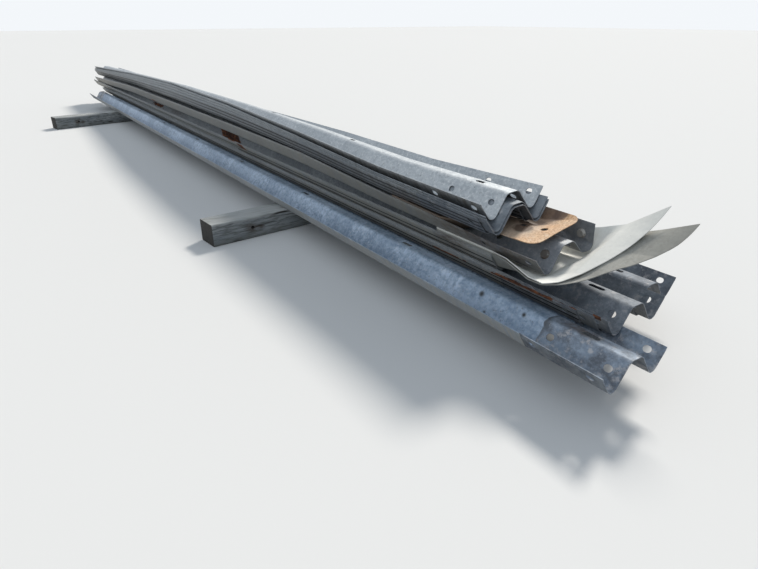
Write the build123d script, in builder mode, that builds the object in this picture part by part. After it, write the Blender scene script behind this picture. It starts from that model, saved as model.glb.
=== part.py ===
from build123d import *
import math
import os

os.makedirs("parts", exist_ok=True)

# Rail section
RAIL_LENGTH = 7937.5
SHORT_RAIL_LENGTH = 4127.5
SHEET = 2.67
RAIL_DEPTH = 83.0
TROUGH_OFFSET = 97.0
SIDE_SLOPE = 55.0
BEND_RADIUS = 25.35
LIP_CORNER = 151.49
LIP_EDGE = 155.8
LIP_SLOPE = 68.0

# Holes of a rail
SLOT_LENGTH = 64.0
SLOT_WIDTH = 19.0
SLOT_PITCH = 952.5
FIRST_SLOT = 158.75
SPLICE_LENGTH = 29.0
SPLICE_WIDTH = 23.0
SPLICE_COLUMNS = (50.8, 266.7)
SPLICE_HEIGHT = 42.0
LAP_LENGTH = 317.5

# Stacking
SEAT_GAP = 0.1
TWIST_GAP = 3.2
TURN_GAP = 0.5
LINE_SAMPLES = 420

# Near ends, sideways places and rolls of the stacked rails
FRONT_X = RAIL_LENGTH / 2
REAR_X, REAR_Y = 3695.0, 508.0
LOWER_X, LOWER_Y = (3700.0, 3770.0, 3819.0), 213.0
SHORT_X = 750.0
MIDDLE_X, MIDDLE_Y = 3330.0, 185.0
UPPER_X, UPPER_Y, UPPER_ROLL = 3570.0, 155.0, 7.0
TOP_X, TOP_Y, TOP_ROLL = (3340.0, 3384.0, 3378.0, 3340.0), 95.0, 4.0
CREST_SHIFT = 12.0
TOP_RISE = 1.5

# Twist of the upper and top rails towards the far end: station, sideways place, roll
UPPER_TWIST = ((2700.0, 133.0, -1.8), (1900.0, 126.0, -10.8), (900.0, 126.9, -12.4),
               (-500.0, 127.8, -12.3), (-2200.0, 130.0, -11.4), (-4600.0, 165.9, -2.5))
TOP_TWIST = ((2700.0, 86.0, -1.9), (1900.0, 90.0, -7.2), (900.0, 86.0, -15.0),
             (-500.0, 104.0, -20.4), (-2200.0, 162.4, -17.7), (-4600.0, 208.5, -5.7))

# Bent far flange of the upper rail's near end, as places across and up
BENT_FROM, BENT_TO = 3380.0, 3490.0
BENT_FLANGE = [(224.0, 229.0), (285.0, 226.0), (277.0, 326.0)]

# End shoe on the upper rail
SHOE_END_X = 3525.0
SHOE_LENGTH = 762.0
SHOE_HALF_WIDTH = 122.0
SHOE_Y = 145.0
SHOE_LIFT = 16.0
SHOE_TILT = 12.0
SHOE_CORNER = 42.0
SHOE_HOLE_RADIUS = 13.0
SHOE_HOLE_ROW = ((3467.0, 62.0), (3467.0, 138.0), (3467.0, 214.0), (3374.0, 136.0))

# Timber bearers
BEARER_WIDTH = 150.0
BEARER_HEIGHT = 120.0
BEARER_LENGTH = 1830.0
BEARER_CHAMFER = 5.0
BEARER_HOLE_RADIUS = 10.0
BEARER_HOLE_FROM_END = 230.0
BEARER_ENDS = {"bearer_near": (1835.0, -560.0, 5.0), "bearer_far": (-2495.0, -775.0, 10.0)}

# Splice bolts left in the upper rail
BOLT_RADIUS = 8.0
BOLT_HEAD_RADIUS = 18.0
BOLT_HEAD_HEIGHT = 9.0
NUT_ACROSS = 27.0
NUT_HEIGHT = 13.0
BOLT_TAIL = 5.0


def rail_corners():
    """Sharp corners of the sheet's underside from the near lip to the far lip."""
    slope = math.tan(math.radians(SIDE_SLOPE))
    top = RAIL_DEPTH - SHEET
    bottom = -BEND_RADIUS * (1 / math.cos(math.radians(SIDE_SLOPE)) - 1)
    ridge = TROUGH_OFFSET - (top - bottom) / slope
    lip = bottom + (LIP_CORNER - TROUGH_OFFSET) * slope
    edge = lip + (LIP_EDGE - LIP_CORNER) * math.tan(math.radians(LIP_SLOPE))
    far = [(ridge, top), (TROUGH_OFFSET, bottom), (LIP_CORNER, lip), (LIP_EDGE, edge)]
    return [(-a, h) for a, h in reversed(far)] + far


def placed(points, y, z, roll=0.0):
    """Points of a section rolled about its own foot and moved to (y, z)."""
    c, s = math.cos(math.radians(roll)), math.sin(math.radians(roll))
    return [(y + a * c - h * s, z + a * s + h * c) for a, h in points]


def underside(y, z, roll=0.0):
    """Sampled underside line of a placed rail."""
    line = FilletPolyline(*rail_corners(), radius=BEND_RADIUS)
    samples = [line @ (i / LINE_SAMPLES) for i in range(LINE_SAMPLES + 1)]
    return placed([(p.X, p.Y) for p in samples], y, z, roll)


def seat(y, roll, *supports, gap=SEAT_GAP):
    """Height at which a rail comes to rest on the rails below it."""
    reach = SHEET + gap
    upper = underside(y, 0.0, roll)
    height = -1000.0
    for support in supports:
        for py, pz in underside(*support):
            for qy, qz in upper:
                if abs(qy - py) < reach:
                    height = max(height, pz - qz + math.sqrt(reach ** 2 - (qy - py) ** 2))
    return height


def sheet_section(x, corners, radius=BEND_RADIUS):
    """Cut through a sheet across X, its underside running through the corners."""
    with BuildSketch(Plane(origin=(x, 0, 0), x_dir=(0, 1, 0), z_dir=(1, 0, 0))) as section:
        with BuildLine():
            FilletPolyline(*corners, radius=radius)
            offset(amount=SHEET, side=Side.LEFT)
        make_face()
    return section.sketch


def slope_plane(x, across, height, lean, y, z, roll):
    """Plane on a rail's surface with local X along the rail and Z out of its upper side."""
    turn = math.radians(lean + roll)
    at_y, at_z = placed([(across, height)], y, z, roll)[0]
    return Plane(origin=(x, at_y, at_z), x_dir=(1, 0, 0), z_dir=(0, -math.sin(turn), math.cos(turn)))


SPLICE_ROWS = []
foot_drop = BEND_RADIUS * (1 / math.cos(math.radians(SIDE_SLOPE)) - 1)
for side in (-1, 1):
    reach = (SPLICE_HEIGHT + foot_drop) / math.tan(math.radians(SIDE_SLOPE))
    SPLICE_ROWS.append((side * (TROUGH_OFFSET - reach), -side * SIDE_SLOPE))
    SPLICE_ROWS.append((side * (TROUGH_OFFSET + reach), side * SIDE_SLOPE))


def rest_at(path, x):
    """Place and roll (y, z, roll) of a rail at x on its path of stations."""
    stations = sorted(path)
    if x <= stations[0] or len(stations) == 1:
        return path[stations[0]]
    for low, high in zip(stations, stations[1:]):
        if x <= high:
            share = (x - low) / (high - low)
            return tuple(a + (b - a) * share for a, b in zip(path[low], path[high]))
    return path[stations[-1]]


def lay(near, far, touches, supports_at):
    """First two stations (x, y, roll) of a path, at heights that rest it at two places between."""
    heights = []
    for x in touches:
        share = (x - near[0]) / (far[0] - near[0])
        y, roll = (a + (b - a) * share for a, b in zip(near[1:], far[1:]))
        heights.append(seat(y, roll, *supports_at(x), gap=TURN_GAP))
    climb = (heights[1] - heights[0]) / (touches[1] - touches[0])
    return {x: (y, heights[0] + climb * (x - touches[0]), roll) for x, y, roll in (near, far)}


def make_rail(x_near, path, length=RAIL_LENGTH, slots=True, splices=(0, 1), bent=None):
    """Pressed rail with post-bolt slots on its ridge and splice holes at the named ends."""
    x_far = x_near - length
    bent = bent or {}
    cuts = sorted({x_far, x_near, *bent, *(x for x in path if x_far < x < x_near)})
    sections = []
    for x in cuts:
        corners = bent[x] if x in bent else placed(rail_corners(), *rest_at(path, x))
        sections.append(sheet_section(x, corners))
    with BuildPart() as rail:
        if len(path) == 1:
            extrude(sections[0], amount=length)
        else:
            loft(sections, ruled=True)
        if slots:
            count = int((length - 2 * FIRST_SLOT) / SLOT_PITCH + 1.01)
            places = [x_far + FIRST_SLOT + i * SLOT_PITCH for i in range(count)]
            planes = [slope_plane(x, 0, RAIL_DEPTH, 0, *rest_at(path, x)) for x in places]
            with BuildSketch(*planes):
                SlotOverall(SLOT_LENGTH, SLOT_WIDTH)
            extrude(amount=-3 * SHEET, mode=Mode.SUBTRACT)
        if splices:
            places = [x_far + column for column in SPLICE_COLUMNS if 0 in splices]
            places += [x_near - column for column in SPLICE_COLUMNS if 1 in splices]
            for across, lean in SPLICE_ROWS:
                planes = [slope_plane(x, across, SPLICE_HEIGHT, lean, *rest_at(path, x)) for x in places]
                with BuildSketch(*planes):
                    SlotOverall(SPLICE_LENGTH, SPLICE_WIDTH)
                extrude(amount=3 * SHEET, both=True, mode=Mode.SUBTRACT)
    return rail


nodes = {}

# Two rails lie side by side on the bearers, traffic face down.
front = (0.0, 0.0, 0.0)
rear = (REAR_Y, 0.0, 0.0)
nodes["rail_bottom_front"] = make_rail(FRONT_X, {0.0: front})
nodes["rail_bottom_rear"] = make_rail(REAR_X, {0.0: rear})

# Three full rails and a short one are nested in the gap between those two.
below = [front, rear]
for number, x_near in enumerate(LOWER_X, start=1):
    rest = (LOWER_Y, seat(LOWER_Y, 0.0, *below), 0.0)
    ends = (0, 1) if number == 3 else (1,)
    nodes[f"rail_lower_{number}"] = make_rail(x_near, {0.0: rest}, splices=ends)
    below = [rest]
rest = (LOWER_Y, seat(LOWER_Y, 0.0, *below), 0.0)
nodes["rail_short"] = make_rail(SHORT_X, {0.0: rest}, SHORT_RAIL_LENGTH, slots=False, splices=(1,))
below = [rest]

# Two more rails lie over them, shifted sideways.
for number in (1, 2):
    rest = (MIDDLE_Y, seat(MIDDLE_Y, 0.0, *below), 0.0)
    nodes[f"rail_middle_{number}"] = make_rail(MIDDLE_X, {0.0: rest}, slots=False, splices=())
    below = [rest]

# Two flared end sections are nested on the middle rails and fan out past them.
flare_lower = (MIDDLE_Y, seat(MIDDLE_Y, 0.0, *below), 0.0)
flare_upper = (MIDDLE_Y, seat(MIDDLE_Y, 0.0, flare_lower), 0.0)
lower_fan = {
    3450.0: [(-22, 213), (0, 196), (75, 141), (145, 191), (205, 198), (275, 163), (326, 231), (338, 254)],
    3560.0: [(-30, 187), (-5, 177), (70, 163), (140, 179), (205, 183), (268, 190), (316, 252), (330, 286)],
    3700.0: [(-18, 186), (38, 192), (102, 216), (166, 250), (226, 281), (272, 303), (304, 314), (332, 319)],
    3775.0: [(-12, 195), (50, 212), (120, 249), (170, 266), (225, 290), (270, 318), (306, 337), (336, 350)],
    3890.0: [(-5, 200), (50, 230), (120, 264), (170, 286), (225, 313), (270, 346), (305, 376), (336, 404)],
}
upper_fan = {
    3450.0: [(-22, 222), (0, 205), (75, 150), (145, 200), (205, 207), (275, 172), (326, 240), (338, 263)],
    3560.0: [(-30, 196), (-5, 186), (70, 172), (140, 188), (205, 192), (270, 199), (318, 264), (331, 299)],
    3650.0: [(-22, 190), (30, 193), (90, 212), (150, 240), (210, 269), (270, 300), (308, 318), (336, 333)],
    3775.0: [(-12, 200), (50, 212), (120, 240), (190, 281), (250, 319), (310, 362), (346, 394), (382, 428)],
}
LOWER_EDGE = [(3600, -60), (3617, -20), (3650, 25), (3701, 80), (3742, 120), (3792, 170),
              (3834, 225), (3869, 270), (3886, 318), (3889, 450)]
UPPER_EDGE = [(3602, -60), (3620, -20), (3677, 100), (3727, 205), (3758, 315), (3768, 450)]
for name, rest, fan, edge_points in (
    ("flared_end_lower", flare_lower, lower_fan, LOWER_EDGE),
    ("flared_end_upper", flare_upper, upper_fan, UPPER_EDGE),
):
    lap = placed(rail_corners(), *rest)
    sections = [sheet_section(MIDDLE_X - LAP_LENGTH, lap), sheet_section(MIDDLE_X, lap)]
    sections += [sheet_section(x, corners) for x, corners in fan.items()]
    with BuildPart() as flare:
        loft(sections, ruled=True)
        with BuildSketch(Plane.XY):
            with BuildLine():
                edge = Spline(*edge_points)
                Polyline(edge @ 1, (MIDDLE_X - LAP_LENGTH - 50, edge_points[-1][1]),
                         (MIDDLE_X - LAP_LENGTH - 50, edge_points[0][1]), edge @ 0)
            make_face()
        extrude(amount=600.0, mode=Mode.INTERSECT)
    nodes[name] = flare

# One rail lies rolled on the flared ends and twists towards its far end.
upper_path = lay((BENT_FROM, UPPER_Y, UPPER_ROLL), UPPER_TWIST[0], (MIDDLE_X, MIDDLE_X - LAP_LENGTH),
                 lambda x: (flare_upper, below[0]))
for x, y, roll in UPPER_TWIST[1:]:
    upper_path[x] = (y, seat(y, roll, *below, gap=TWIST_GAP), roll)

# The far flange of its near end is knocked upright, with the splice hole still in it.
upper = upper_path[BENT_FROM]
bent_end = placed(rail_corners(), *upper)[:5] + BENT_FLANGE
whole_rail = make_rail(UPPER_X, upper_path, splices=(0,), bent={BENT_TO: bent_end, UPPER_X: bent_end})
hole_planes = []
for column in SPLICE_COLUMNS:
    x = UPPER_X - column
    rest = rest_at(upper_path, x)
    hole_planes += [slope_plane(x, across, SPLICE_HEIGHT, lean, *rest) for across, lean in SPLICE_ROWS]
foot, tip = bent_end[6:]
flange_lean = math.degrees(math.atan2(tip[1] - foot[1], tip[0] - foot[0]))
mid_flange = ((foot[0] + tip[0]) / 2, (foot[1] + tip[1]) / 2)
hole_planes[3] = slope_plane(UPPER_X - SPLICE_COLUMNS[0], 0, 0, flange_lean, *mid_flange, 0.0)
with BuildPart() as rail_upper:
    add(whole_rail.part)
    with BuildSketch(*hole_planes):
        SlotOverall(SPLICE_LENGTH, SPLICE_WIDTH)
    extrude(amount=3 * SHEET, both=True, mode=Mode.SUBTRACT)
nodes["rail_upper"] = rail_upper


def shoe_rest(x):
    """Place of the end shoe's W-shaped part, nested in the upper rail at x."""
    y, z, roll = rest_at(upper_path, x)
    return (y, seat(y, roll, (y, z, roll), gap=TURN_GAP), roll)


# Four rails are nested on top, the last one moved a little towards the rear.
x_back = SHOE_END_X - SHOE_LENGTH
path = lay((TOP_X[1], TOP_Y, TOP_ROLL), TOP_TWIST[0], (x_back + LAP_LENGTH, x_back),
           lambda x: (shoe_rest(x),))
path[TOP_X[1]] = (TOP_Y, path[TOP_X[1]][1] + TOP_RISE, TOP_ROLL)
for x, y, roll in TOP_TWIST[1:]:
    path[x] = (y, seat(y, roll, upper_path[x], gap=TWIST_GAP), roll)
top_paths = [path]
for shift, gap in ((0.0, SEAT_GAP), (0.0, SEAT_GAP), (CREST_SHIFT, TURN_GAP)):
    path = {}
    for x, (y, z, roll) in top_paths[-1].items():
        path[x] = (y + shift, seat(y + shift, roll, (y, z, roll), gap=gap), roll)
    top_paths.append(path)
for number, (x_near, path) in enumerate(zip(TOP_X, top_paths), start=1):
    slots, splices = number > 2, (0, 1) if number == 4 else (1,)
    nodes[f"rail_top_{number}"] = make_rail(x_near, path, slots=slots, splices=splices)

# The shoe flattens out under the top rails and ends in a drilled plate.
squeezed = [(-SHOE_HALF_WIDTH, -11.0), (-105.0, -9.0), (-68.0, -6.0), (-24.0, 0.0)]
squeezed += [(25.0, 0.2), (47.0, -12.0), (85.0, 6.0), (SHOE_HALF_WIDTH, 42.0)]
pressed_flat = [(-SHOE_HALF_WIDTH, 2.2), (-105.0, 1.0), (-70.0, 0.0), (-25.0, 1.2)]
pressed_flat += [(-a, h) for a, h in reversed(pressed_flat)]
lap_start, lap_end = (placed(rail_corners(), *shoe_rest(x)) for x in (x_back, x_back + LAP_LENGTH))
flat_z = max(h for a, h in underside(*upper)) + SHEET + SEAT_GAP
flat = placed(squeezed, SHOE_Y, flat_z, 0.5)
tip = placed(pressed_flat, SHOE_Y, flat_z + SHOE_LIFT, SHOE_TILT)
half_way = [((a + c) / 2, (b + d) / 2) for (a, b), (c, d) in zip(lap_end, flat)]
with BuildPart() as end_shoe:
    loft([
        sheet_section(x_back, lap_start),
        sheet_section(x_back + LAP_LENGTH, lap_end),
        sheet_section(x_back + LAP_LENGTH + 105.0, half_way),
        sheet_section(x_back + LAP_LENGTH + 210.0, flat),
        sheet_section(TOP_X[1] + 4.0, flat),
        sheet_section(SHOE_END_X, tip),
    ], ruled=True)
    with BuildSketch(Plane.XY.offset(flat_z - 60.0)):
        with Locations(*SHOE_HOLE_ROW):
            Circle(SHOE_HOLE_RADIUS)
        for side in (-1, 1):
            corner = (SHOE_END_X - SHOE_CORNER, SHOE_Y + side * (SHOE_HALF_WIDTH - 2 - SHOE_CORNER))
            with Locations(corner):
                Rectangle(SHOE_CORNER + 5, SHOE_CORNER + 9,
                          align=(Align.MIN, Align.MIN if side > 0 else Align.MAX))
                Circle(SHOE_CORNER, mode=Mode.SUBTRACT)
    extrude(amount=140.0, mode=Mode.SUBTRACT)
nodes["end_shoe"] = end_shoe

# Two splice bolts are still in the upper rail's near end.
for name, seat_plane in (("splice_bolt_near", hole_planes[0]), ("splice_bolt_far", hole_planes[3])):
    with BuildPart() as bolt:
        with BuildSketch(seat_plane.offset(-SHEET - NUT_HEIGHT - BOLT_TAIL)):
            Circle(BOLT_RADIUS)
        extrude(amount=2 * SHEET + NUT_HEIGHT + BOLT_TAIL)
        with BuildSketch(seat_plane.offset(-NUT_HEIGHT)):
            RegularPolygon(NUT_ACROSS / 2, 6, major_radius=False)
        extrude(amount=NUT_HEIGHT)
        with BuildSketch(seat_plane.offset(SHEET)):
            Circle(BOLT_HEAD_RADIUS)
        extrude(amount=BOLT_HEAD_HEIGHT, taper=28)
    nodes[name] = bolt

# Old timber posts serve as bearers; each keeps a bolt hole through its sides.
for name, (end_x, end_y, heading) in BEARER_ENDS.items():
    along = (-math.sin(math.radians(heading)), math.cos(math.radians(heading)), 0)
    across = (math.cos(math.radians(heading)), math.sin(math.radians(heading)), 0)
    with BuildPart() as bearer:
        with BuildSketch(Plane(origin=(end_x, end_y, 0), x_dir=across, z_dir=(0, 0, 1))):
            Rectangle(BEARER_WIDTH, BEARER_LENGTH, align=(Align.CENTER, Align.MIN))
        extrude(amount=-BEARER_HEIGHT)
        long_edges = bearer.edges().filter_by(lambda e: abs(e.length - BEARER_LENGTH) < 1.0)
        chamfer(long_edges, BEARER_CHAMFER)
        with BuildSketch(Plane(origin=(end_x, end_y, 0), x_dir=along, z_dir=across)):
            with Locations((BEARER_HOLE_FROM_END, BEARER_HEIGHT / 2)):
                Circle(BEARER_HOLE_RADIUS)
            with Locations((BEARER_HOLE_FROM_END, -BEARER_HEIGHT / 2)):
                Circle(BEARER_HOLE_RADIUS)
        extrude(amount=BEARER_WIDTH, both=True, mode=Mode.SUBTRACT)
    nodes[name] = bearer

# The whole bundle is centred on the origin with its base on the ground.
boxes = [node.part.bounding_box() for node in nodes.values()]
centre_x = (min(box.min.X for box in boxes) + max(box.max.X for box in boxes)) / 2
centre_y = (min(box.min.Y for box in boxes) + max(box.max.Y for box in boxes)) / 2
base = Location((-centre_x, -centre_y, BEARER_HEIGHT))
for name, node in nodes.items():
    node.part.label = name
    export_step(node.part.moved(base), f"parts/{name}.step")
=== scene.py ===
import bpy
import math
from mathutils import Matrix, Vector


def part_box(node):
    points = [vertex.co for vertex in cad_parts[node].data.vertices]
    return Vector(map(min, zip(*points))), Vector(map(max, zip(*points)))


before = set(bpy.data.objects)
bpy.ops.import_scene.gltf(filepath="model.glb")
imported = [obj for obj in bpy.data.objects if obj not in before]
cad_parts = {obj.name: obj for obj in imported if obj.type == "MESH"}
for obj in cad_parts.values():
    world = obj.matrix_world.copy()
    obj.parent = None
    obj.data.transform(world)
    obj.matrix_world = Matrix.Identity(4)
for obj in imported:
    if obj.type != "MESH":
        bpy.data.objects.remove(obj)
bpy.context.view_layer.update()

# The view: a hand-held camera a little over a metre up, off the flared end's near corner.
# It looks down the length of the bundle, so the far end shrinks to a third of the near one.
CAMERA_PLACE = Vector((5.02918, -1.64047, 1.0940))
CAMERA_RIGHT = Vector((0.5594, 0.8289, 0.0))
CAMERA_UP = Vector((-0.3515, 0.2372, 0.9056))
CAMERA_BACK = Vector((0.7507, -0.5066, 0.4241))
camera_data = bpy.data.cameras.new("yard_camera")
camera_data.sensor_width = 36.0
camera_data.lens = 27.07
camera_data.clip_end = 200.0
camera = bpy.data.objects.new("yard_camera", camera_data)
axes = Matrix((CAMERA_RIGHT, CAMERA_UP, CAMERA_BACK)).transposed()
camera.matrix_world = Matrix.Translation(CAMERA_PLACE) @ axes.to_4x4()
bpy.context.scene.collection.objects.link(camera)
bpy.context.scene.camera = camera


# The floor and the room: one pale, matt studio sheet under the bearers, with nothing drawn on
# it, and a pale room. Both look pale to the eye and in the metal, but throw little light back.
FLOOR_HALF = 60.0
FLOOR_THROWN, FLOOR_SEEN = 0.38, 0.80
ROOM_THROWN, ROOM_SEEN = 0.40, 1.0
ROOM_TINT_THROWN, ROOM_TINT_SEEN = (0.82, 0.91, 1.0), (0.90, 0.93, 0.96)


def feed(tree, socket, value):
    if isinstance(value, bpy.types.NodeSocket):
        tree.links.new(value, socket)
    elif socket.type == "RGBA":
        socket.default_value = (*value, 1)
    else:
        socket.default_value = value


def math_node(tree, operation, *values, clamp=False):
    made = tree.nodes.new("ShaderNodeMath")
    made.operation = operation
    made.use_clamp = clamp
    for socket, value in zip(made.inputs, values):
        feed(tree, socket, value)
    return made.outputs["Value"]


def blend_node(tree, amount, first, second):
    made = tree.nodes.new("ShaderNodeMix")
    made.data_type = "RGBA"
    # A Mix node keeps one pair of inputs per data type; these numbers are the colour ones.
    for number, value in ((0, amount), (6, first), (7, second)):
        feed(tree, made.inputs[number], value)
    return made.outputs[2]


def seen_mask(tree):
    light_path = tree.nodes.new("ShaderNodeLightPath").outputs
    mask = light_path["Is Camera Ray"]
    for ray in ("Is Glossy Ray", "Is Transmission Ray"):
        mask = math_node(tree, "MAXIMUM", mask, light_path[ray])
    return mask


def seen_level(tree, thrown, seen):
    level = tree.nodes.new("ShaderNodeMapRange")
    level.inputs["To Min"].default_value = thrown
    level.inputs["To Max"].default_value = seen
    tree.links.new(seen_mask(tree), level.inputs["Value"])
    return level.outputs["Result"]


def new_material(name):
    material = bpy.data.materials.new(name)
    material.use_nodes = True
    return material, material.node_tree, material.node_tree.nodes["Principled BSDF"]


floor_mesh = bpy.data.meshes.new("studio_floor")
floor_signs = ((-1, -1), (1, -1), (1, 1), (-1, 1))
floor_corners = [(x * FLOOR_HALF, y * FLOOR_HALF, 0.0) for x, y in floor_signs]
floor_mesh.from_pydata(floor_corners, [], [(0, 1, 2, 3)])
floor = bpy.data.objects.new("studio_floor", floor_mesh)
bpy.context.scene.collection.objects.link(floor)
floor_paint, floor_tree, floor_shader = new_material("studio_floor_paint")
floor_level = seen_level(floor_tree, FLOOR_THROWN, FLOOR_SEEN)
floor_tree.links.new(floor_level, floor_shader.inputs["Base Color"])
floor_shader.inputs["Roughness"].default_value = 0.95
floor_shader.inputs["Specular IOR Level"].default_value = 0.1
floor.data.materials.append(floor_paint)

room = bpy.data.worlds.new("studio_room")
bpy.context.scene.world = room
room.use_nodes = True
room_tree = room.node_tree
background = room_tree.nodes["Background"]
room_tint = blend_node(room_tree, seen_mask(room_tree), ROOM_TINT_THROWN, ROOM_TINT_SEEN)
room_tree.links.new(room_tint, background.inputs["Color"])
room_tree.links.new(seen_level(room_tree, ROOM_THROWN, ROOM_SEEN), background.inputs["Strength"])


# The lamps: a wide soft sun low behind the bundle, as the afternoon sun stood, which leaves
# the flanks on the camera's side in sky light, and a weak cool one that keeps them readable.
def wide_sun(name, towards, strength, spread, tint):
    lamp_data = bpy.data.lights.new(name, "SUN")
    lamp_data.energy = strength
    lamp_data.angle = math.radians(spread)
    lamp_data.color = tint
    lamp = bpy.data.objects.new(name, lamp_data)
    lamp.rotation_euler = (-Vector(towards)).to_track_quat("-Z", "Y").to_euler()
    bpy.context.scene.collection.objects.link(lamp)


wide_sun("key_sun", towards=(-0.38, 0.66, 0.65), strength=3.0, spread=12.0, tint=(1.0, 0.95, 0.87))
wide_sun("fill_sun", towards=(0.50, -0.70, 0.50), strength=0.65, spread=80.0, tint=(0.82, 0.91, 1.0))


# The bearers: two old square timber posts laid flat, rough sawn and silvered outdoors.
# Their ends are dark end grain with drying checks, their dark splits painted as shade, and a
# drilled bolt hole shows in one side.
SILVERED_SHADE, SILVERED = (0.235, 0.26, 0.275), (0.47, 0.49, 0.50)
WEATHERED = (0.25, 0.28, 0.31)
FIBRE_SHADE = (0.115, 0.12, 0.115)
WORN_ARRIS_HIGHLIGHT = (0.60, 0.61, 0.60)
DARKER_FOOT = (0.14, 0.14, 0.125)
CHECK_SHADE = (0.02, 0.018, 0.016)
BOLT_STAIN = (0.06, 0.042, 0.028)
END_GRAIN, END_RINGS = (0.011, 0.0105, 0.010), (0.03, 0.028, 0.025)
END_SPLIT_SHADE = (0.006, 0.006, 0.006)
BOLT_MARKS = ((0.0, 0.011, 0.034), (0.057, 0.004, 0.022))


def plus(tree, first, second):
    return math_node(tree, "ADD", first, second)


def minus(tree, first, second):
    return math_node(tree, "SUBTRACT", first, second)


def times(tree, first, second):
    return math_node(tree, "MULTIPLY", first, second)


def ramp_node(tree, source, stops):
    ramp = tree.nodes.new("ShaderNodeValToRGB")
    while len(ramp.color_ramp.elements) < len(stops):
        ramp.color_ramp.elements.new(0.5)
    for element, (place, level) in zip(ramp.color_ramp.elements, stops):
        element.position = place
        element.color = (level, level, level, 1)
    tree.links.new(source, ramp.inputs["Fac"])
    return ramp.outputs["Color"]


def noise_node(tree, vector, scale, detail=4.0, roughness=0.55):
    made = tree.nodes.new("ShaderNodeTexNoise")
    made.inputs["Scale"].default_value = scale
    made.inputs["Detail"].default_value = detail
    made.inputs["Roughness"].default_value = roughness
    tree.links.new(vector, made.inputs["Vector"])
    return made.outputs["Fac"]


def stretched(tree, vector, scale, turn=0.0, shift=(0.0, 0.0, 0.0)):
    made = tree.nodes.new("ShaderNodeMapping")
    made.inputs["Scale"].default_value = scale
    made.inputs["Rotation"].default_value = (0.0, 0.0, turn)
    made.inputs["Location"].default_value = shift
    tree.links.new(vector, made.inputs["Vector"])
    return made.outputs["Vector"]


def vector_node(tree, operation, *values):
    made = tree.nodes.new("ShaderNodeVectorMath")
    made.operation = operation
    for socket, value in zip(made.inputs, values):
        feed(tree, socket, value)
    return made.outputs


def parts_of(tree, vector):
    made = tree.nodes.new("ShaderNodeSeparateXYZ")
    tree.links.new(vector, made.inputs["Vector"])
    return made.outputs


def object_place(tree):
    return tree.nodes.new("ShaderNodeTexCoord").outputs["Object"]


def surface_normal(tree):
    return tree.nodes.new("ShaderNodeNewGeometry").outputs["Normal"]


def near_point(tree, vector, point, inner, outer, weight=(1.0, 1.0, 1.0)):
    scaled = vector_node(tree, "MULTIPLY", vector, weight)["Vector"]
    middle = tuple(part * share for part, share in zip(point, weight))
    apart = vector_node(tree, "DISTANCE", scaled, middle)["Value"]
    return ramp_node(tree, apart, [(inner, 1.0), (outer, 0.0)])


def add_bump(tree, shader, height, strength, distance):
    bump = tree.nodes.new("ShaderNodeBump")
    bump.inputs["Strength"].default_value = strength
    bump.inputs["Distance"].default_value = distance
    tree.links.new(height, bump.inputs["Height"])
    tree.links.new(bump.outputs["Normal"], shader.inputs["Normal"])


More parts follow.
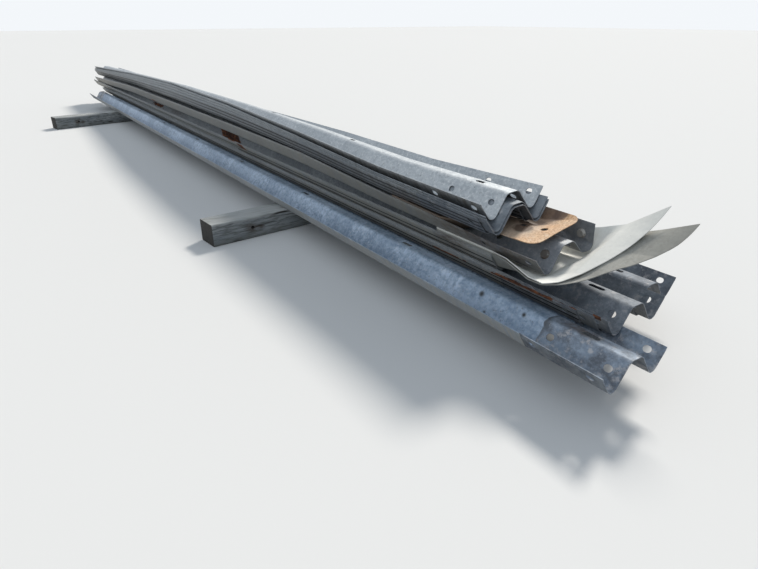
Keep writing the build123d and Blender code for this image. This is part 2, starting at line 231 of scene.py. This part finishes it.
def timber_material(name, turn, ring_shift, seed, bolt_hole):
    timber, tree, shader = new_material(name)
    place = object_place(tree)
    grain_space = stretched(tree, place, (1.0, 0.06, 1.0), -turn, seed)
    fibres = noise_node(tree, grain_space, 120.0, 6.0, 0.62)
    boards = noise_node(tree, grain_space, 14.0, 3.0)
    weather = noise_node(tree, stretched(tree, place, (1.0, 0.5, 1.0), -turn, seed), 5.0, 5.0)
    check_space = stretched(tree, place, (1.0, 0.025, 1.0), -turn, seed)
    checks = ramp_node(tree, noise_node(tree, check_space, 34.0, 2.0), [(0.33, 1.0), (0.39, 0.0)])

    board_mask = ramp_node(tree, boards, [(0.40, 0.0), (0.62, 1.0)])
    wood = blend_node(tree, board_mask, SILVERED_SHADE, SILVERED)
    weather_mask = ramp_node(tree, weather, [(0.42, 0.0), (0.62, 0.8)])
    wood = blend_node(tree, weather_mask, wood, WEATHERED)
    fibre_mask = ramp_node(tree, fibres, [(0.40, 0.85), (0.58, 0.0)])
    wood = blend_node(tree, fibre_mask, wood, FIBRE_SHADE)
    height = parts_of(tree, place)["Z"]
    # The top edge and top face are lightened: a worn arris with a painted highlight over it.
    arris_highlight = ramp_node(tree, height, [(0.100, 0.0), (0.112, 0.65)])
    arris_highlight = times(tree, arris_highlight, ramp_node(tree, weather, [(0.36, 0.2), (0.6, 1.0)]))
    wood = blend_node(tree, arris_highlight, wood, WORN_ARRIS_HIGHLIGHT)
    # Darker towards the bottom.
    darker_foot = ramp_node(tree, height, [(0.0, 0.6), (0.05, 0.0)])
    wood = blend_node(tree, darker_foot, wood, DARKER_FOOT)
    wood = blend_node(tree, checks, wood, CHECK_SHADE)
    for aside, inner, outer in BOLT_MARKS:
        middle = (bolt_hole[0], bolt_hole[1] + aside, bolt_hole[2] - 0.15 * aside)
        mark = near_point(tree, place, middle, inner, outer, (0.0, 0.7, 1.0))
        mark = times(tree, mark, ramp_node(tree, fibres, [(0.35, 1.0), (0.65, 0.55)]))
        wood = blend_node(tree, mark, wood, BOLT_STAIN)

    turned = tree.nodes.new("ShaderNodeMapping")
    turned.vector_type = "VECTOR"
    turned.inputs["Rotation"].default_value = (0.0, 0.0, -turn)
    tree.links.new(surface_normal(tree), turned.inputs["Vector"])
    endwise = math_node(tree, "ABSOLUTE", parts_of(tree, turned.outputs["Vector"])["Y"])
    end_face = ramp_node(tree, endwise, [(0.7, 0.0), (0.8, 1.0)])
    rings = tree.nodes.new("ShaderNodeTexWave")
    rings.wave_type = "RINGS"
    rings.rings_direction = "Y"
    rings.inputs["Scale"].default_value = 42.0
    rings.inputs["Distortion"].default_value = 3.0
    rings.inputs["Detail"].default_value = 3.0
    ring_space = stretched(tree, place, (1.0, 1.0, 1.0), -turn, ring_shift)
    tree.links.new(ring_space, rings.inputs["Vector"])
    end_wood = blend_node(tree, rings.outputs["Fac"], END_GRAIN, END_RINGS)
    # Near-black splits in the end grain: painted shade in the cracks.
    split_space = stretched(tree, place, (3.0, 1.0, 0.7), 0.0, seed)
    split_shade = ramp_node(tree, noise_node(tree, split_space, 24.0, 3.0), [(0.36, 1.0), (0.42, 0.0)])
    end_wood = blend_node(tree, split_shade, end_wood, END_SPLIT_SHADE)

    tree.links.new(blend_node(tree, end_face, wood, end_wood), shader.inputs["Base Color"])
    shader.inputs["Roughness"].default_value = 0.86
    add_bump(tree, shader, minus(tree, fibres, checks), strength=0.5, distance=0.004)
    return timber


def dress(node_name, material):
    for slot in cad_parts[node_name].material_slots:
        slot.material = material


dress("bearer_near", timber_material(
    "bearer_near_timber", turn=math.radians(5.0), ring_shift=(-2.05, 0.0, -0.03),
    seed=(0.3, 1.2, 0.6), bolt_hole=(2.13, -0.572, 0.06),
))
dress("bearer_far", timber_material(
    "bearer_far_timber", turn=math.radians(10.0), ring_shift=(2.35, 0.0, -0.03),
    seed=(2.3, 4.2, 1.6), bolt_hole=(-2.216, -0.789, 0.06),
))


# The steel sheet: hot-dip galvanizing that has stood outdoors for years, shared by all the rails.
# The group gives its mottled greys, a painted tint of bounce light and shade on faces that look
# down, and fine spangle relief.
CHALK_WHITE = (0.66, 0.68, 0.69)
SPECK_BLACK = (0.10, 0.10, 0.10)


def against_axis(tree, part):
    return math_node(tree, "MULTIPLY_ADD", part, -0.5, 0.5)


def new_sockets(group, given, results):
    for label, kind, value in given:
        socket = group.interface.new_socket(label, in_out="INPUT", socket_type=kind)
        socket.default_value = value
    for label, kind in results:
        group.interface.new_socket(label, in_out="OUTPUT", socket_type=kind)
    return group.nodes.new("NodeGroupInput").outputs, group.nodes.new("NodeGroupOutput").inputs


def zinc_skin_group():
    group = bpy.data.node_groups.new("weathered_zinc_skin", "ShaderNodeTree")
    given, result = new_sockets(group, (
        ("Bright", "NodeSocketColor", (0.50, 0.53, 0.55, 1)),
        ("Dull", "NodeSocketColor", (0.30, 0.33, 0.36, 1)),
        ("Painted Underside", "NodeSocketColor", (0.36, 0.31, 0.24, 1)),
        ("Painted Underside Amount", "NodeSocketFloat", 0.7),
        ("Chalk", "NodeSocketFloat", 1.0),
        ("Specks", "NodeSocketFloat", 1.0),
        ("Shift", "NodeSocketVector", (0, 0, 0)),
    ), (
        ("Color", "NodeSocketColor"),
        ("Roughness", "NodeSocketFloat"),
        ("Relief", "NodeSocketFloat"),
    ))
    place = vector_node(group, "ADD", object_place(group), given["Shift"])["Vector"]
    clouds = noise_node(group, stretched(group, place, (0.35, 2.2, 2.2)), 3.2, 6.0, 0.6)
    mottle = noise_node(group, stretched(group, place, (1.0, 1.6, 1.6)), 26.0, 5.0, 0.65)
    runs = noise_node(group, stretched(group, place, (2.6, 0.25, 0.25)), 22.0, 4.0, 0.6)
    grazes = noise_node(group, stretched(group, place, (0.03, 1.0, 1.0)), 260.0, 3.0, 0.6)
    spangle = group.nodes.new("ShaderNodeTexVoronoi")
    spangle.inputs["Scale"].default_value = 115.0
    group.links.new(place, spangle.inputs["Vector"])
    spangle_tone = group.nodes.new("ShaderNodeSeparateColor")
    group.links.new(spangle.outputs["Color"], spangle_tone.inputs["Color"])

    tone = plus(group, times(group, clouds, 0.50), times(group, mottle, 0.44))
    tone = plus(group, tone, times(group, runs, 0.24))
    tone = plus(group, tone, times(group, spangle_tone.outputs["Red"], 0.09))
    bright_mask = ramp_node(group, tone, [(0.535, 0.0), (0.715, 1.0)])
    colour = blend_node(group, bright_mask, given["Dull"], given["Bright"])
    chalk = ramp_node(group, noise_node(group, place, 80.0, 5.0, 0.7), [(0.52, 0.0), (0.68, 0.6)])
    colour = blend_node(group, times(group, chalk, given["Chalk"]), colour, CHALK_WHITE)
    lengths = noise_node(group, stretched(group, place, (1.0, 0.0, 0.0)), 1.7, 1.0)
    bands = ramp_node(group, lengths, [(0.465, 0.34), (0.475, 0.0), (0.56, 0.0), (0.565, 0.22)])
    colour = blend_node(group, bands, colour, given["Dull"])
    specks = ramp_node(group, noise_node(group, place, 75.0, 3.0, 0.7), [(0.29, 0.7), (0.38, 0.0)])
    colour = blend_node(group, times(group, specks, given["Specks"]), colour, SPECK_BLACK)
    # Faces that look down get a painted tint: warm ground bounce where the given colour is light,
    # shade where it is dark.
    below = against_axis(group, parts_of(group, surface_normal(group))["Z"])
    below = ramp_node(group, below, [(0.42, 0.0), (0.75, 1.0)])
    painted_underside = times(group, below, ramp_node(group, runs, [(0.3, 0.45), (0.6, 1.0)]))
    painted_underside = math_node(group, "MULTIPLY", painted_underside, given["Painted Underside Amount"], clamp=True)
    group.links.new(blend_node(group, painted_underside, colour, given["Painted Underside"]), result["Color"])

    rough = plus(group, times(group, clouds, 0.26), times(group, mottle, 0.22))
    group.links.new(plus(group, rough, 0.28), result["Roughness"])
    relief = plus(group, times(group, mottle, 0.7), times(group, grazes, 0.3))
    group.links.new(relief, result["Relief"])
    return group


# Bare patches, where the zinc is gone and the steel has let out rust. The group gives each one
# as a mask: a block round its centre, sheared along X by its slant and ragged at its edges.
def patch_mask_group():
    group = bpy.data.node_groups.new("ragged_patch", "ShaderNodeTree")
    given, result = new_sockets(group, (
        ("Centre", "NodeSocketVector", (0, 0, 0)),
        ("Half Size", "NodeSocketVector", (1, 1, 1)),
        ("Slant", "NodeSocketFloat", 0.0),
        ("Raggedness", "NodeSocketFloat", 0.3),
        ("Grain", "NodeSocketFloat", 18.0),
    ), (("Mask", "NodeSocketFloat"),))
    place = object_place(group)
    offset = parts_of(group, vector_node(group, "SUBTRACT", place, given["Centre"])["Vector"])
    sheared = group.nodes.new("ShaderNodeCombineXYZ")
    along = plus(group, offset["X"], times(group, offset["Z"], given["Slant"]))
    group.links.new(along, sheared.inputs["X"])
    group.links.new(offset["Y"], sheared.inputs["Y"])
    group.links.new(offset["Z"], sheared.inputs["Z"])
    share = vector_node(group, "DIVIDE", sheared.outputs["Vector"], given["Half Size"])["Vector"]
    reach = parts_of(group, vector_node(group, "ABSOLUTE", share)["Vector"])
    widest = math_node(group, "MAXIMUM", reach["X"], reach["Y"])
    widest = math_node(group, "MAXIMUM", widest, reach["Z"])
    ragged = group.nodes.new("ShaderNodeTexNoise")
    ragged.inputs["Detail"].default_value = 5.0
    group.links.new(given["Grain"], ragged.inputs["Scale"])
    group.links.new(place, ragged.inputs["Vector"])
    wander = times(group, minus(group, ragged.outputs["Fac"], 0.5), given["Raggedness"])
    edge = plus(group, widest, times(group, wander, 2.0))
    group.links.new(ramp_node(group, edge, [(0.88, 1.0), (1.0, 0.0)]), result["Mask"])
    return group


# Where sheets nest, the lips stand over one another like leaves, with black gaps between them
# that are painted shade: the lines follow the outermost lip, whose place is read along its own mesh.
LEAF_STATIONS = 20
LEAF_END_MARGIN = 0.004
TROUGH_REACH = 0.13
LEAF_SWAY = 0.16


# Gives the mask of the painted gap shade on the lip faces that look down and to the front.
def painted_gap_shade_lines(tree, place, node_name, shares):
    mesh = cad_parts[node_name].data
    low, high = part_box(node_name)
    length = high[0] - low[0]
    edge_stops, trough_stops = [], []
    for number in range(LEAF_STATIONS):
        share = LEAF_END_MARGIN + (1.0 - 2.0 * LEAF_END_MARGIN) * number / (LEAF_STATIONS - 1)
        x = low[0] + length * share
        cut = []
        for edge in mesh.edges:
            first, second = (mesh.vertices[index].co for index in edge.vertices)
            if (first.x - x) * (second.x - x) < 0.0:
                cut.append(first.lerp(second, (x - first.x) / (second.x - first.x)))
        lip = min(cut, key=lambda point: point.y)
        near_half = [point for point in cut if point.y < lip.y + TROUGH_REACH]
        trough = min(near_half, key=lambda point: point.z)
        edge_stops.append((share, lip.z))
        trough_stops.append((share, trough.z))

    parts = parts_of(tree, place)
    along = math_node(tree, "DIVIDE", minus(tree, parts["X"], low[0]), length)
    trough_height = ramp_node(tree, along, trough_stops)
    flank_height = minus(tree, ramp_node(tree, along, edge_stops), trough_height)
    climb = math_node(tree, "DIVIDE", minus(tree, parts["Z"], trough_height), flank_height)
    sway = noise_node(tree, stretched(tree, place, (1.0, 0.0, 0.0)), 1.3, 1.0)
    climb = plus(tree, climb, times(tree, minus(tree, sway, 0.5), LEAF_SWAY))
    stops = [(0.0, 0.0)]
    for middle in shares:
        stops += [(middle - 0.065, 0.0), (middle - 0.035, 1.0)]
        stops += [(middle + 0.035, 1.0), (middle + 0.045, 0.0)]
    shade_lines = ramp_node(tree, climb, stops)
    facing = parts_of(tree, surface_normal(tree))
    below = ramp_node(tree, against_axis(tree, facing["Z"]), [(0.60, 0.0), (0.66, 1.0)])
    front = ramp_node(tree, against_axis(tree, facing["Y"]), [(0.70, 0.0), (0.76, 1.0)])
    return times(tree, shade_lines, times(tree, below, front))


# One material for each rail, laid over the shared sheet: the dark prints of lapped neighbours,
# water stains, painted shade in the gaps between nested lips, small dark spots, and rust in the bare
# patches.
LAP_GROUND, LAP_BLOTS, LAP_BLOOM = (0.17, 0.20, 0.245), (0.095, 0.108, 0.13), (0.52, 0.50, 0.50)
LAP_RIM = (0.06, 0.06, 0.065)
WATER_STAIN = (0.10, 0.068, 0.045)
# Near black, painted as the shade in the gaps between nested lips.
PAINTED_GAP_SHADE = (0.008, 0.008, 0.009)
SPOT_DARK = (0.03, 0.035, 0.04)
RUST_DARK, RUST_ORANGE = (0.055, 0.022, 0.014), (0.33, 0.125, 0.05)
RUST_GRAIN = 30.0
zinc_skin = zinc_skin_group()
ragged_patch = patch_mask_group()


def group_node(tree, group, values):
    made = tree.nodes.new("ShaderNodeGroup")
    made.node_tree = group
    for label, value in values.items():
        feed(tree, made.inputs[label], value)
    return made.outputs


def lap_print(tree, place, colour, start, towards, amount):
    beyond = times(tree, minus(tree, parts_of(tree, place)["X"], start), towards)
    wander = minus(tree, noise_node(tree, place, 22.0, 4.0), 0.5)
    beyond = plus(tree, beyond, times(tree, wander, 0.03))
    print_mask = ramp_node(tree, beyond, [(0.0, 0.0), (0.004, amount)])
    rim = ramp_node(tree, beyond, [(0.0, 0.0), (0.003, 0.6 * amount), (0.012, 0.0)])
    colour = blend_node(tree, times(tree, print_mask, 0.5), colour, LAP_GROUND)
    blots = ramp_node(tree, noise_node(tree, place, 15.0, 6.0, 0.7), [(0.38, 1.0), (0.58, 0.1)])
    colour = blend_node(tree, times(tree, print_mask, blots), colour, LAP_BLOTS)
    bloom = ramp_node(tree, noise_node(tree, place, 27.0, 6.0, 0.7), [(0.55, 0.0), (0.66, 0.7)])
    colour = blend_node(tree, times(tree, print_mask, bloom), colour, LAP_BLOOM)
    return blend_node(tree, rim, colour, LAP_RIM)


# laps: (start along X, direction, amount); stains: (centre, reach, weight per axis, amount);
# leaves, the painted gap shade: (node, shares of the flank); spots: (centre, inner, outer radius);
# rusts: (centre, half size, slant, raggedness).
def zinc_material(name, shift, bright, dull, painted_underside, painted_underside_amount=0.7, laps=(), rusts=(),
                  stains=(), spots=(), gap_shade_leaves=(), chalk=1.0, specks=1.0, metal=0.3, dirt=0.0):
    zinc, tree, shader = new_material(name)
    skin = group_node(tree, zinc_skin, {
        "Bright": bright, "Dull": dull, "Painted Underside": painted_underside, "Painted Underside Amount": painted_underside_amount,
        "Chalk": chalk, "Specks": specks, "Shift": shift,
    })
    colour = skin["Color"]
    place = object_place(tree)
    for start, towards, amount in laps:
        colour = lap_print(tree, place, colour, start, towards, amount)
    for centre, reach, weight, amount in stains:
        breaks = noise_node(tree, stretched(tree, place, (0.3, 1.0, 1.0)), 60.0, 6.0, 0.7)
        breaks = ramp_node(tree, breaks, [(0.38, 0.15 * amount), (0.60, amount)])
        stain = times(tree, near_point(tree, place, centre, 0.3 * reach, reach, weight), breaks)
        colour = blend_node(tree, stain, colour, WATER_STAIN)
    # Painted shade in the gaps between nested lips, laid along the outermost lip.
    for node_name, shares in gap_shade_leaves:
        gap_shade = painted_gap_shade_lines(tree, place, node_name, shares)
        colour = blend_node(tree, gap_shade, colour, PAINTED_GAP_SHADE)
    for centre, inner, outer in spots:
        spot = near_point(tree, place, centre, inner, outer)
        colour = blend_node(tree, spot, colour, SPOT_DARK)
    rust_total = None
    for centre, half, slant, raggedness in rusts:
        rust = group_node(tree, ragged_patch, {
            "Centre": centre, "Half Size": half, "Slant": slant,
            "Raggedness": raggedness, "Grain": RUST_GRAIN,
        })["Mask"]
        tones = noise_node(tree, stretched(tree, place, (0.4, 1.0, 1.0)), 60.0, 5.0, 0.7)
        tones = ramp_node(tree, tones, [(0.42, 0.0), (0.66, 1.0)])
        colour = blend_node(tree, rust, colour, blend_node(tree, tones, RUST_DARK, RUST_ORANGE))
        rust_total = rust if rust_total is None else math_node(tree, "MAXIMUM", rust_total, rust)

    tree.links.new(colour, shader.inputs["Base Color"])
    rough = plus(tree, skin["Roughness"], dirt)
    if rust_total is None:
        shader.inputs["Metallic"].default_value = metal
    else:
        rough = math_node(tree, "MAXIMUM", rough, times(tree, rust_total, 0.9))
        bare = minus(tree, 1.0, rust_total)
        tree.links.new(times(tree, bare, metal), shader.inputs["Metallic"])
    tree.links.new(rough, shader.inputs["Roughness"])
    add_bump(tree, shader, skin["Relief"], strength=0.22, distance=0.002)
    return zinc


# The two bottom rails: long pressed W rails lying traffic face down on the bearers.
# The front one keeps a dark, mottled lap print on its last third of a metre.
LAP = 0.35
# A warm tint for faces that look down, painted as light thrown up from the ground.
PAINTED_WARM_BOUNCE = (0.47, 0.45, 0.40)
front_low, front_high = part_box("rail_bottom_front")
rear_low, rear_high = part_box("rail_bottom_rear")
# The front rail's strong blue is painted sky light, the tint its flanks take in open shade.
dress("rail_bottom_front", zinc_material(
    "front_rail_zinc", shift=(0.0, 0.0, 0.0), bright=(0.45, 0.55, 0.68), dull=(0.18, 0.255, 0.355),
    painted_underside=PAINTED_WARM_BOUNCE, painted_underside_amount=0.85, chalk=0.6,
    laps=[(front_high[0] - 0.312, 1.0, 0.95), (front_low[0] + 0.34, -1.0, 0.95)],
    spots=[
        ((3.690, -0.285, 0.182), 0.006, 0.015),
        ((3.893, -0.283, 0.184), 0.004, 0.011),
        ((3.740, -0.316, 0.137), 0.002, 0.009),
    ],
    stains=[((4.10, -0.24, 0.203), 0.020, (0.15, 0.8, 1.0), 0.8)],
))
dress("rail_bottom_rear", zinc_material(
    "rear_rail_zinc", shift=(3.1, 0.7, 0.2), bright=(0.27, 0.30, 0.335), dull=(0.13, 0.155, 0.185),
    painted_underside=PAINTED_WARM_BOUNCE, painted_underside_amount=0.7, laps=[(rear_high[0] - LAP, 1.0, 0.9)], chalk=0.4, dirt=0.2,
))


# The rails nested between them: three long ones and a half-length one on top of those.
# Rust runs along the lips near the flared end, where water stands between the sheets.
LIP_RUSTS = {
    1: [
        ((3.80, -0.18, 0.222), (0.15, 0.03, 0.006), 0.0, 0.8),
        ((3.36, -0.17, 0.21), (0.10, 0.03, 0.004), 0.0, 1.2),
    ],
    2: [((3.86, -0.178, 0.223), (0.15, 0.03, 0.007), 0.0, 1.0)],
    3: [((4.10, -0.19, 0.235), (0.016, 0.03, 0.009), 0.0, 0.5)],
}
for number, shift in ((1, 1.7), (2, 5.3), (3, 8.9)):
    name = f"rail_lower_{number}"
    near_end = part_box(name)[1][0]
    dress(name, zinc_material(
        f"lower_rail_zinc_{number}", shift=(shift, 0.4 * number, 0.9),
        bright=(0.29, 0.315, 0.345), dull=(0.145, 0.17, 0.20),
        painted_underside=(0.36, 0.34, 0.295), painted_underside_amount=0.85, chalk=0.5, dirt=0.2,
        laps=[(near_end - LAP, 1.0, 0.6)], rusts=LIP_RUSTS[number],
        gap_shade_leaves=[(name, (0.38, 0.70))] if number == 1 else [],
    ))
dress("rail_short", zinc_material(
    "short_rail_zinc", shift=(11.0, 0.2, 0.4), bright=(0.34, 0.365, 0.385),
    dull=(0.19, 0.21, 0.235), painted_underside=(0.33, 0.31, 0.265), painted_underside_amount=0.8,
))


# The middle rails: two more long rails nested over the lower ones, moved to the front.
# One has a slanting bare patch, burnt or scraped to rust, about half-way along its flank.
MIDDLE_RUSTS = {
    1: [((1.20, -0.205, 0.287), (0.06, 0.03, 0.02), 1.5, 0.3)],
    2: [
        ((0.74, -0.11, 0.281), (0.20, 0.035, 0.04), 3.0, 0.12),
        ((1.05, -0.205, 0.29), (0.07, 0.02, 0.03), 1.5, 0.3),
        ((-1.31, -0.11, 0.281), (0.19, 0.03, 0.012), 0.0, 0.9),
    ],
}
for number, shift in ((1, 14.2), (2, 17.9)):
    name = f"rail_middle_{number}"
    dress(name, zinc_material(
        f"middle_rail_zinc_{number}", shift=(shift, 1.4 * number, 0.1),
        bright=(0.35, 0.38, 0.41), dull=(0.18, 0.205, 0.235),
        painted_underside=(0.36, 0.335, 0.275), painted_underside_amount=0.9, chalk=0.6, rusts=MIDDLE_RUSTS[number],
        stains=[
            ((3.42, -0.205, 0.28), 0.05, (0.35, 1.0, 1.0), 0.9),
            ((-0.65, -0.105, 0.29), 0.05, (0.12, 1.0, 1.0), 0.5),
        ],
        gap_shade_leaves=[(name, (0.30, 0.62))] if number == 1 else [],
    ))


# The flared end sections: thinner looking, newer sheet whose folds run out into a wide scoop.
# Their zinc is still bright, with faint smears; the upper one's near white is painted sunlight,
# the lower one's darker tone is painted shade, and their darker undersides are painted shade too.
for name, shift, bright, dull, painted_underside in (
    ("flared_end_lower", 21.0, (0.37, 0.365, 0.335), (0.28, 0.278, 0.255), (0.25, 0.235, 0.195)),
    # Painted sunlight: near white, against the painted shade of the lower section.
    ("flared_end_upper", 24.5, (0.87, 0.865, 0.82), (0.76, 0.76, 0.725), (0.45, 0.43, 0.37)),
):
    dress(name, zinc_material(
        name + "_zinc", shift=(shift, 0.0, 0.3), bright=bright, dull=dull, painted_underside=painted_underside,
        painted_underside_amount=0.5, chalk=0.25, specks=0.12, metal=0.1, dirt=0.2,
    ))


# The upper rail: one long rail lying rolled on the flared ends, stained along its near flank.
# Two splice bolts are still in its near end, one rusty and dark, one with its zinc bright.
upper_near_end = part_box("rail_upper")[1][0]
dress("rail_upper", zinc_material(
    "upper_rail_zinc", shift=(28.3, 2.0, 0.6), bright=(0.33, 0.345, 0.355),
    dull=(0.18, 0.195, 0.215), painted_underside=(0.27, 0.25, 0.205), painted_underside_amount=0.9, chalk=0.6,
    stains=[((3.62, -0.25, 0.365), 0.09, (0.2, 1.0, 1.0), 0.85)],
    rusts=[((-1.0, -0.24, 0.35), (0.13, 0.06, 0.02), 0.0, 1.2)],
    laps=[(upper_near_end - LAP, 1.0, 0.5)],
))
for name, tone in (
    ("splice_bolt_near", (0.11, 0.10, 0.09)),
    ("splice_bolt_far", (0.48, 0.47, 0.44)),
):
    dress(name, zinc_material(
        name + "_zinc", shift=(31.0, 0.0, 0.0), bright=tone,
        dull=tuple(0.6 * part for part in tone), painted_underside=(0.2, 0.13, 0.08), painted_underside_amount=0.5,
    ))


# The end shoe: a W rail end pressed out into a flat, drilled plate. It has lost its zinc:
# pale orange rust with dark water stains round the holes, greyer towards the rails, and painted
# shade where it runs in under them.
SHOE_ORANGE, SHOE_CREAM = (0.66, 0.37, 0.17), (0.80, 0.60, 0.40)
SHOE_SPECKS, SHOE_PALE = (0.34, 0.15, 0.065), (0.76, 0.64, 0.50)
SHOE_GREY, SHOE_INSIDE_SHADE = (0.44, 0.39, 0.345), (0.095, 0.075, 0.06)
SHOE_STAIN = (0.062, 0.032, 0.020)
GREYER_X, INSIDE_X = 3.79, 3.70
STAIN_RINGS = (
    ((3.715, -0.131, 0.412), 0.014, 0.052),
    ((3.694, -0.060, 0.412), 0.020, 0.066),
    ((3.700, 0.005, 0.437), 0.020, 0.080),
    ((3.760, 0.015, 0.445), 0.008, 0.045),
)
shoe_rust, tree, shader = new_material("end_shoe_rust")
place = object_place(tree)
broad = noise_node(tree, place, 9.0, 6.0, 0.62)
fine = noise_node(tree, place, 120.0, 6.0, 0.75)
damp = noise_node(tree, place, 34.0, 6.0, 0.72)
cream = ramp_node(tree, broad, [(0.30, 0.0), (0.70, 1.0)])
colour = blend_node(tree, cream, SHOE_ORANGE, SHOE_CREAM)
colour = blend_node(tree, ramp_node(tree, fine, [(0.42, 0.7), (0.56, 0.0)]), colour, SHOE_SPECKS)
pale = ramp_node(tree, noise_node(tree, place, 40.0, 5.0, 0.7), [(0.54, 0.0), (0.70, 0.55)])
colour = blend_node(tree, pale, colour, SHOE_PALE)
along = parts_of(tree, place)["X"]
# Greyer on the rail side of x = 3.79, broken up by the broad noise.
greyer = ramp_node(tree, minus(tree, GREYER_X, along), [(0.0, 0.0), (0.05, 0.6)])
greyer = times(tree, greyer, ramp_node(tree, broad, [(0.35, 0.5), (0.6, 1.0)]))
colour = blend_node(tree, greyer, colour, SHOE_GREY)
for centre, inner, outer in STAIN_RINGS:
    ring = near_point(tree, place, centre, inner, outer, (0.8, 1.0, 0.6))
    stain = plus(tree, times(tree, ring, 0.95), times(tree, damp, 0.75))
    stain = times(tree, ramp_node(tree, stain, [(0.74, 0.0), (1.0, 1.0)]), 0.82)
    colour = blend_node(tree, stain, colour, SHOE_STAIN)
# Painted shade: darker the further the shoe runs in under the rails.
inside_shade = ramp_node(tree, minus(tree, INSIDE_X, along), [(0.0, 0.0), (0.09, 0.85)])
colour = blend_node(tree, inside_shade, colour, SHOE_INSIDE_SHADE)
tree.links.new(colour, shader.inputs["Base Color"])
tree.links.new(math_node(tree, "MULTIPLY_ADD", fine, 0.25, 0.5), shader.inputs["Roughness"])
add_bump(tree, shader, fine, strength=0.35, distance=0.002)
dress("end_shoe", shoe_rust)


# The top rails: four long rails nested over the shoe, the last a little behind the others.
# Their lips stand one over another like leaves, and the top faces are chalky; the uppermost
# rail's extra brightness is a painted lift of light.
TOP_BRIGHT, TOP_DULL = (0.36, 0.395, 0.425), (0.20, 0.235, 0.27)
# The lift is a painted lightening of the whole rail, largest on the uppermost, which stands in the
# light.
for number, shift, painted_light_lift in ((1, 34.0, 0.0), (2, 37.2, 0.02), (3, 40.9, 0.02), (4, 44.6, 0.13)):
    name = f"rail_top_{number}"
    near_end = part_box(name)[1][0]
    lowest, uppermost = number == 1, number == 4
    dress(name, zinc_material(
        f"top_rail_zinc_{number}", shift=(shift, 0.8 * number, 0.5),
        bright=tuple(level + painted_light_lift for level in TOP_BRIGHT),
        dull=tuple(level + painted_light_lift for level in TOP_DULL),
        # Here the underside tint is dark: painted shade on the lips that face the ground.
        painted_underside=(0.13, 0.125, 0.115), painted_underside_amount=0.95, chalk=1.5 if uppermost else 0.8,
        laps=[] if uppermost else [(near_end - LAP, 1.0, 0.6)],
        stains=[((3.20, -0.27, 0.41), 0.05, (0.35, 1.0, 1.0), 0.8)] if lowest else [],
        gap_shade_leaves=[(name, (0.22, 0.47, 0.74))] if lowest else [],
    ))

bpy.context.scene.view_settings.view_transform = "Standard"
